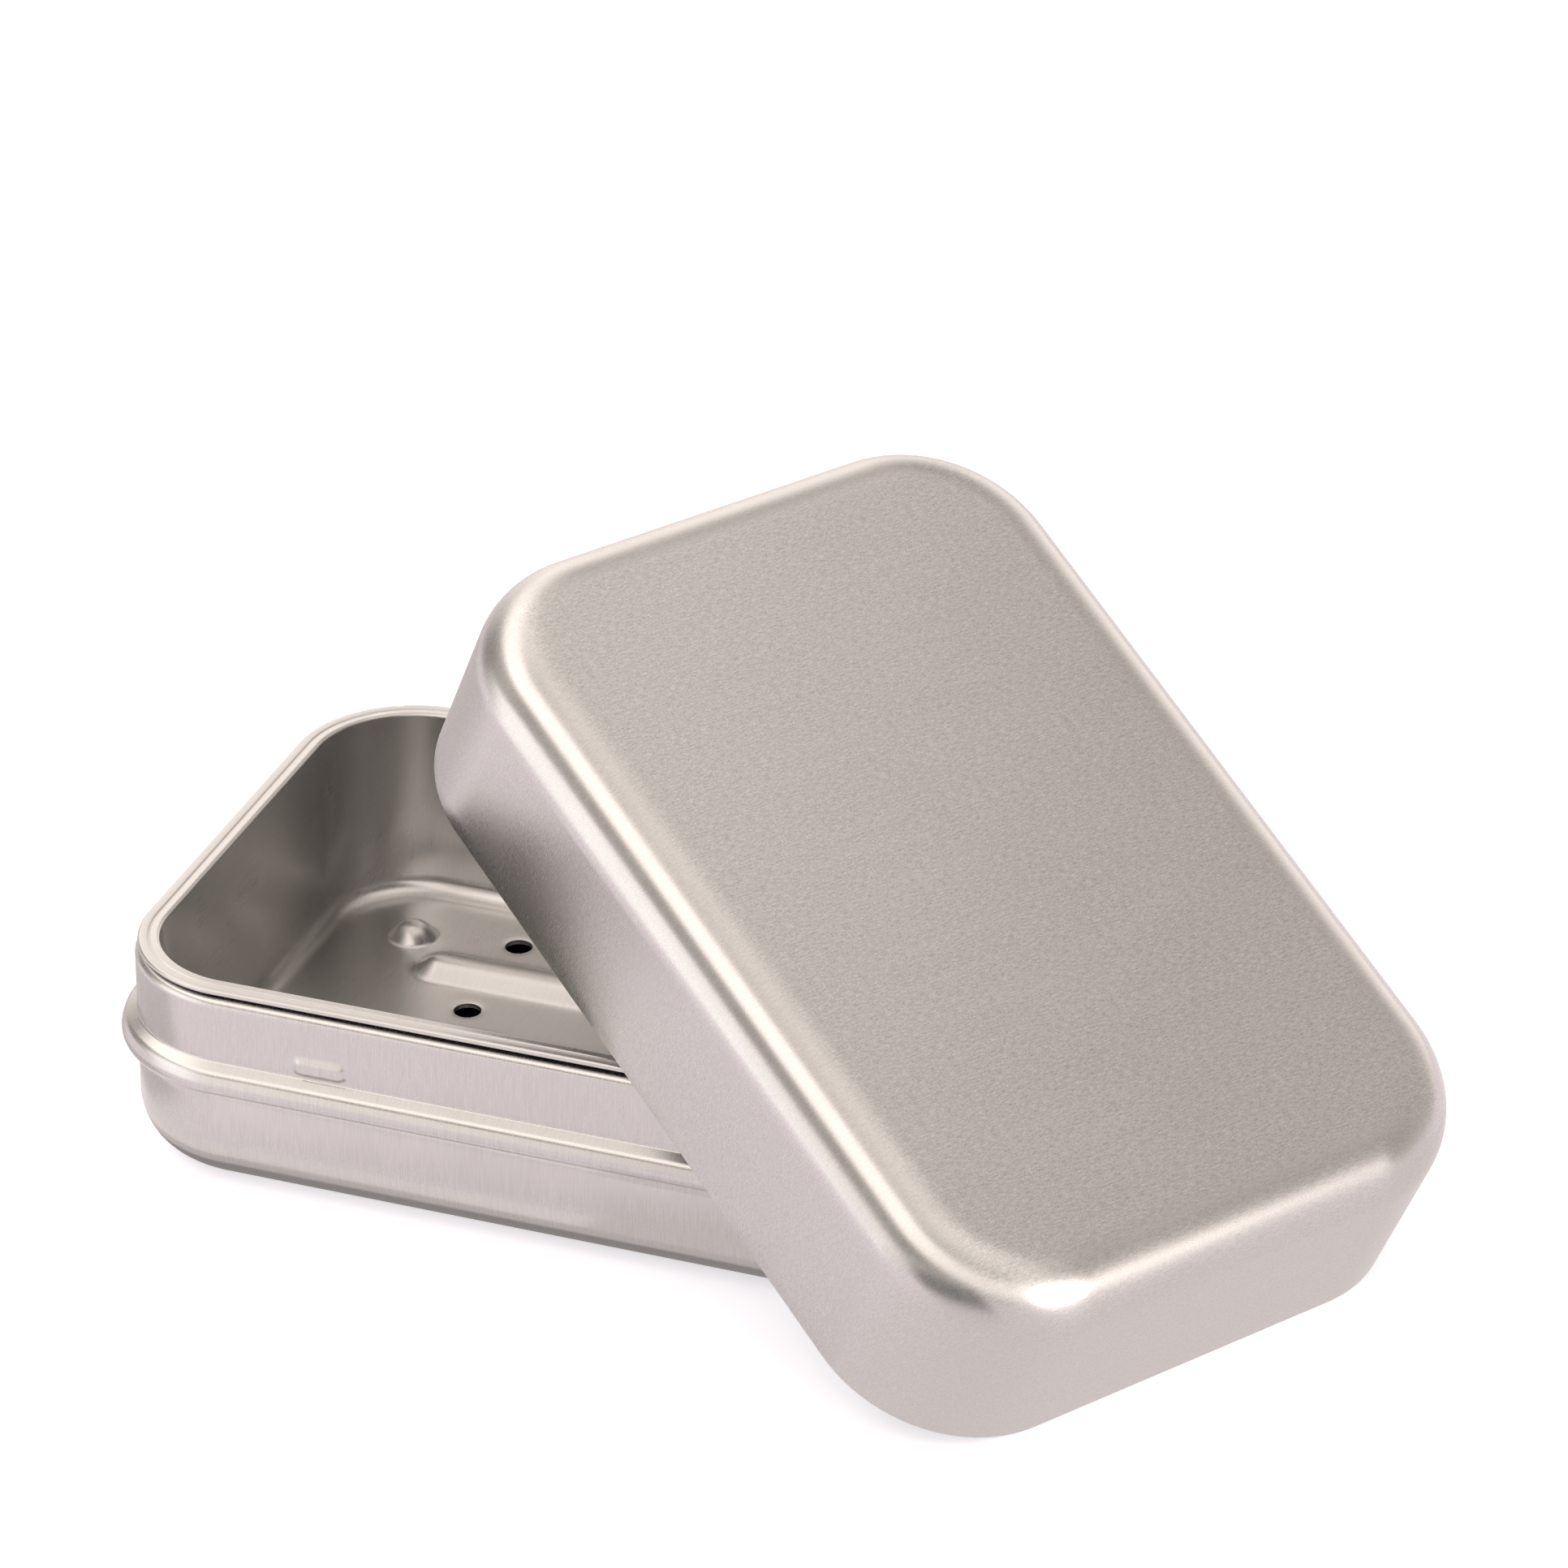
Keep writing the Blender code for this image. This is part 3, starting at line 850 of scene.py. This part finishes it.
# %% World
ROOM_LEVEL = 0.58
DARK_LEVEL = 0.32
BAND_LEVEL = 0.95
WALL_LEVEL = 0.80
ROOM_AXIS = (65, 63)
CANOPY_EDGE = (0.08, 0.30)
BAND_START = (0.16, 0.28)
BAND_END = (0.56, 0.66)
BAND_GAP_AZIMUTH = 45
BAND_GAP_EDGE = (0.15, 0.55)
WALL_AZIMUTH = -150
WALL_SIDES = (0.35, 0.80)
WALL_TOP = (0.18, 0.37)
WARM_WHITE = (1.07, 0.975, 0.905, 1)
ROOM_PATCHES = ((107, 3, 30, 7, 5.5), (-5, -4, 62, 18, 0.75), (85, 22, 30, 12, -0.15),
                (-38, 8, 36, 14, 0.5), (-113, 30, 30, 12, 0.3), (120, 60, 36, 14, 0.35),
                (150, 32, 40, 14, -0.2), (-60, 70, 20, 10, 0.3), (-20, 29, 36, 12, -0.4))

world = bpy.data.worlds.new("studio")
bpy.context.scene.world = world
world.use_nodes = True
tree = world.node_tree
tree.nodes.clear()
direction = add_node(tree, "ShaderNodeTexCoord").outputs["Generated"]
axis = closeness(tree, direction, *ROOM_AXIS)
canopy = ramp(tree, axis, *CANOPY_EDGE, DARK_LEVEL, ROOM_LEVEL)
band_start = ramp(tree, axis, *BAND_START, 0, BAND_LEVEL)
band_end = ramp(tree, axis, *BAND_END, 1, 0)
gap = ramp(tree, closeness(tree, direction, BAND_GAP_AZIMUTH, 0), *BAND_GAP_EDGE, 1, 0)
band = math_node(tree, "MULTIPLY", math_node(tree, "MULTIPLY", band_start, band_end), gap)
wall_top = ramp(tree, closeness(tree, direction, 0, 90), *WALL_TOP, WALL_LEVEL, 0)
wall_sides = ramp(tree, closeness(tree, direction, WALL_AZIMUTH, 0), *WALL_SIDES, 0, 1)
wall = math_node(tree, "MULTIPLY", wall_top, wall_sides)
level = math_node(tree, "ADD", math_node(tree, "ADD", canopy, band), wall)
for room_patch in ROOM_PATCHES:
    level = math_node(tree, "ADD", level, patch(tree, direction, *room_patch))
path = add_node(tree, "ShaderNodeLightPath")
seen = add_node(tree, "ShaderNodeMix", {0: path.outputs["Is Camera Ray"], 2: level, 3: 1.0},
                data_type="FLOAT").outputs[0]
background = add_node(tree, "ShaderNodeBackground", {"Color": WARM_WHITE, "Strength": seen})
add_node(tree, "ShaderNodeOutputWorld", {"Surface": background.outputs[0]})


# %% [markdown]
# ## Lamps
# A broad lamp hangs overhead, and a second one lights only the floor. The metal doesn't see the second
# one, so the floor can be lit evenly without another bright stripe on the round edges.

# %% Lamps
def panel_lamp(name, place, facing, size, radiance, turn=0.0):
    """A square lamp that glows evenly towards the direction it faces."""
    light = bpy.data.lights.new(name, "AREA")
    light.shape = "SQUARE"
    light.size = size
    light.color = WARM_WHITE[:3]
    light.energy = radiance * math.pi * size * size
    lamp = bpy.data.objects.new(name, light)
    lamp.location = place
    lamp.rotation_euler = (Vector(facing).to_track_quat("-Z", "Y").to_matrix()
                           @ Matrix.Rotation(turn, 3, "Z")).to_euler()
    lamp.visible_camera = False
    bpy.context.scene.collection.objects.link(lamp)
    return lamp


DOWN = (0, 0, -1)
OVERHEAD_EDGE = Vector((0.170, 0.204, 0.44))
OVERHEAD_AZIMUTH = 60
OVERHEAD_SIZE = 0.70
OVERHEAD_RADIANCE = 0.25
FLOOR_LAMP_HEIGHT = 1.2
FLOOR_LAMP_SIZE = 1.6
FLOOR_LAMP_RADIANCE = 0.42

overhead_place = OVERHEAD_EDGE - toward(OVERHEAD_AZIMUTH, 0) * OVERHEAD_SIZE / 2
panel_lamp("overhead_lamp", overhead_place, DOWN, OVERHEAD_SIZE, OVERHEAD_RADIANCE,
           math.radians(-OVERHEAD_AZIMUTH))
floor_lamp = panel_lamp("floor_lamp", (0, 0, FLOOR_LAMP_HEIGHT), DOWN, FLOOR_LAMP_SIZE,
                        FLOOR_LAMP_RADIANCE)
floor_lamp.visible_glossy = False


# %% [markdown]
# ## Cards and plates
# An upright white card at the front left and a low black one in front draw the light and dark stripes
# along the round edges. Thin plates on the floor stand for the shades that a table shows near a box:
# dark at its foot and pale a little way off. Only the metal sees them, so they aren't in the picture.

# %% Cards round the object
PAPER_WHITE = (1.06, 0.96, 0.955, 1)


def seen_by_metal_only(thing, level, colour=PAPER_WHITE):
    """Give a stage piece an even glow and hide it from everything but reflections."""
    material = bpy.data.materials.new(thing.name)
    material.use_nodes = True
    tree = material.node_tree
    tree.nodes.clear()
    glow = add_node(tree, "ShaderNodeEmission", {"Color": colour, "Strength": level})
    add_node(tree, "ShaderNodeOutputMaterial", {"Surface": glow.outputs[0]})
    thing.data.materials.append(material)
    for kind in ("camera", "diffuse", "shadow"):
        setattr(thing, "visible_" + kind, False)


CARD_WHITE = (1.04, 0.99, 0.96, 1)


def card(name, azimuth, distance, width, height, level):
    """An upright card that faces the origin: white when its level is high, black when it's low."""
    away = toward(azimuth, 0)
    bpy.ops.mesh.primitive_plane_add(size=1, location=away * distance + Vector((0, 0, height / 2)))
    thing = bpy.context.object
    thing.name = name
    thing.scale = (width, height, 1)
    thing.rotation_euler = away.to_track_quat("Z", "Y").to_euler()
    seen_by_metal_only(thing, level, CARD_WHITE)


card("white_card", azimuth=-127, distance=0.200, width=0.115, height=0.108, level=1.60)
card("black_card", azimuth=162, distance=0.144, width=0.090, height=0.040, level=0.15)


# %% Plates on the floor
def floor_plate(name, corners, level, lift):
    """A thin plate on the floor that only the metal sees."""
    mesh = bpy.data.meshes.new(name)
    mesh.from_pydata([(x, y, FLOOR_LEVEL + lift) for x, y in corners], [], [tuple(range(len(corners)))])
    thing = bpy.data.objects.new(name, mesh)
    bpy.context.scene.collection.objects.link(thing)
    seen_by_metal_only(thing, level)


def round_the_base(reach):
    """The outline of the base, that far outside its wall."""
    centres, normals = stations(BASE_LENGTH, BASE_WIDTH, BASE_CORNER_RADIUS, BASE_CORNER_RADIUS)
    return centres + normals * (BASE_CORNER_RADIUS + reach)


LEFT_CORNERS = np.array([(-200, -170), (-55, -170), (-55, -75), (-200, -75)]) * MM
SHADE_CORNERS = np.array([(4, -47), (26, -47), (26, -30), (4, -30)]) * MM
GREY_CORNERS = np.array([(-220, 5), (-85, 5), (-85, -44), (-56, -44), (-56, 140), (-220, 140)]) * MM
PALE_CORNERS = np.array([(30, -150), (170, -150), (170, 40), (30, 40)]) * MM

# Each plate is a painted reflection: the white and the pale plates are painted light, and the grey plate,
# the shade plate and the middle and dark foot plates are painted shade.
for name, corners, level, lift in (
        ("white_left_plate", LEFT_CORNERS, 1.10, 0.01 * MM),
        ("grey_left_plate", GREY_CORNERS, 0.65, 0.01 * MM),
        ("pale_right_plate", PALE_CORNERS, 0.85, 0.01 * MM),
        ("pale_foot_plate", round_the_base(8.0 * MM), 0.93, 0.02 * MM),
        ("shade_plate", SHADE_CORNERS, 0.74, 0.025 * MM),
        ("middle_foot_plate", round_the_base(1.6 * MM), 0.64, 0.03 * MM),
        ("dark_foot_plate", round_the_base(-0.6 * MM), 0.32, 0.04 * MM)):
    floor_plate(name, corners, level, lift)

# %% [markdown]
# ## Camera
# The photograph looks down at the box from the front right, from far enough away that its long sides
# stay nearly parallel. The camera's place, direction and lens were solved from the edges of the base
# and the lid.

# %% Camera
IMAGE_SIDE = 1932
FOCAL_PIXELS = 9756
EYE = Vector((262.05, -667.46, 430.69)) * MM
LOOK_TURN = math.radians(20.314)
LOOK_DOWN = math.radians(28.718)
LOOK_ROLL = math.radians(0.086)
SENSOR_WIDTH = 36

camera_data = bpy.data.cameras.new("camera")
camera_data.sensor_width = SENSOR_WIDTH
camera_data.lens = SENSOR_WIDTH * FOCAL_PIXELS / IMAGE_SIDE
camera = bpy.data.objects.new("camera", camera_data)
look = Euler((math.pi / 2 - LOOK_DOWN, 0, LOOK_TURN)).to_matrix() @ Matrix.Rotation(LOOK_ROLL, 3, "Z")
camera.matrix_world = Matrix.Translation(EYE) @ look.to_4x4()
bpy.context.scene.collection.objects.link(camera)
bpy.context.scene.camera = camera
bpy.context.scene.view_settings.view_transform = "Standard"
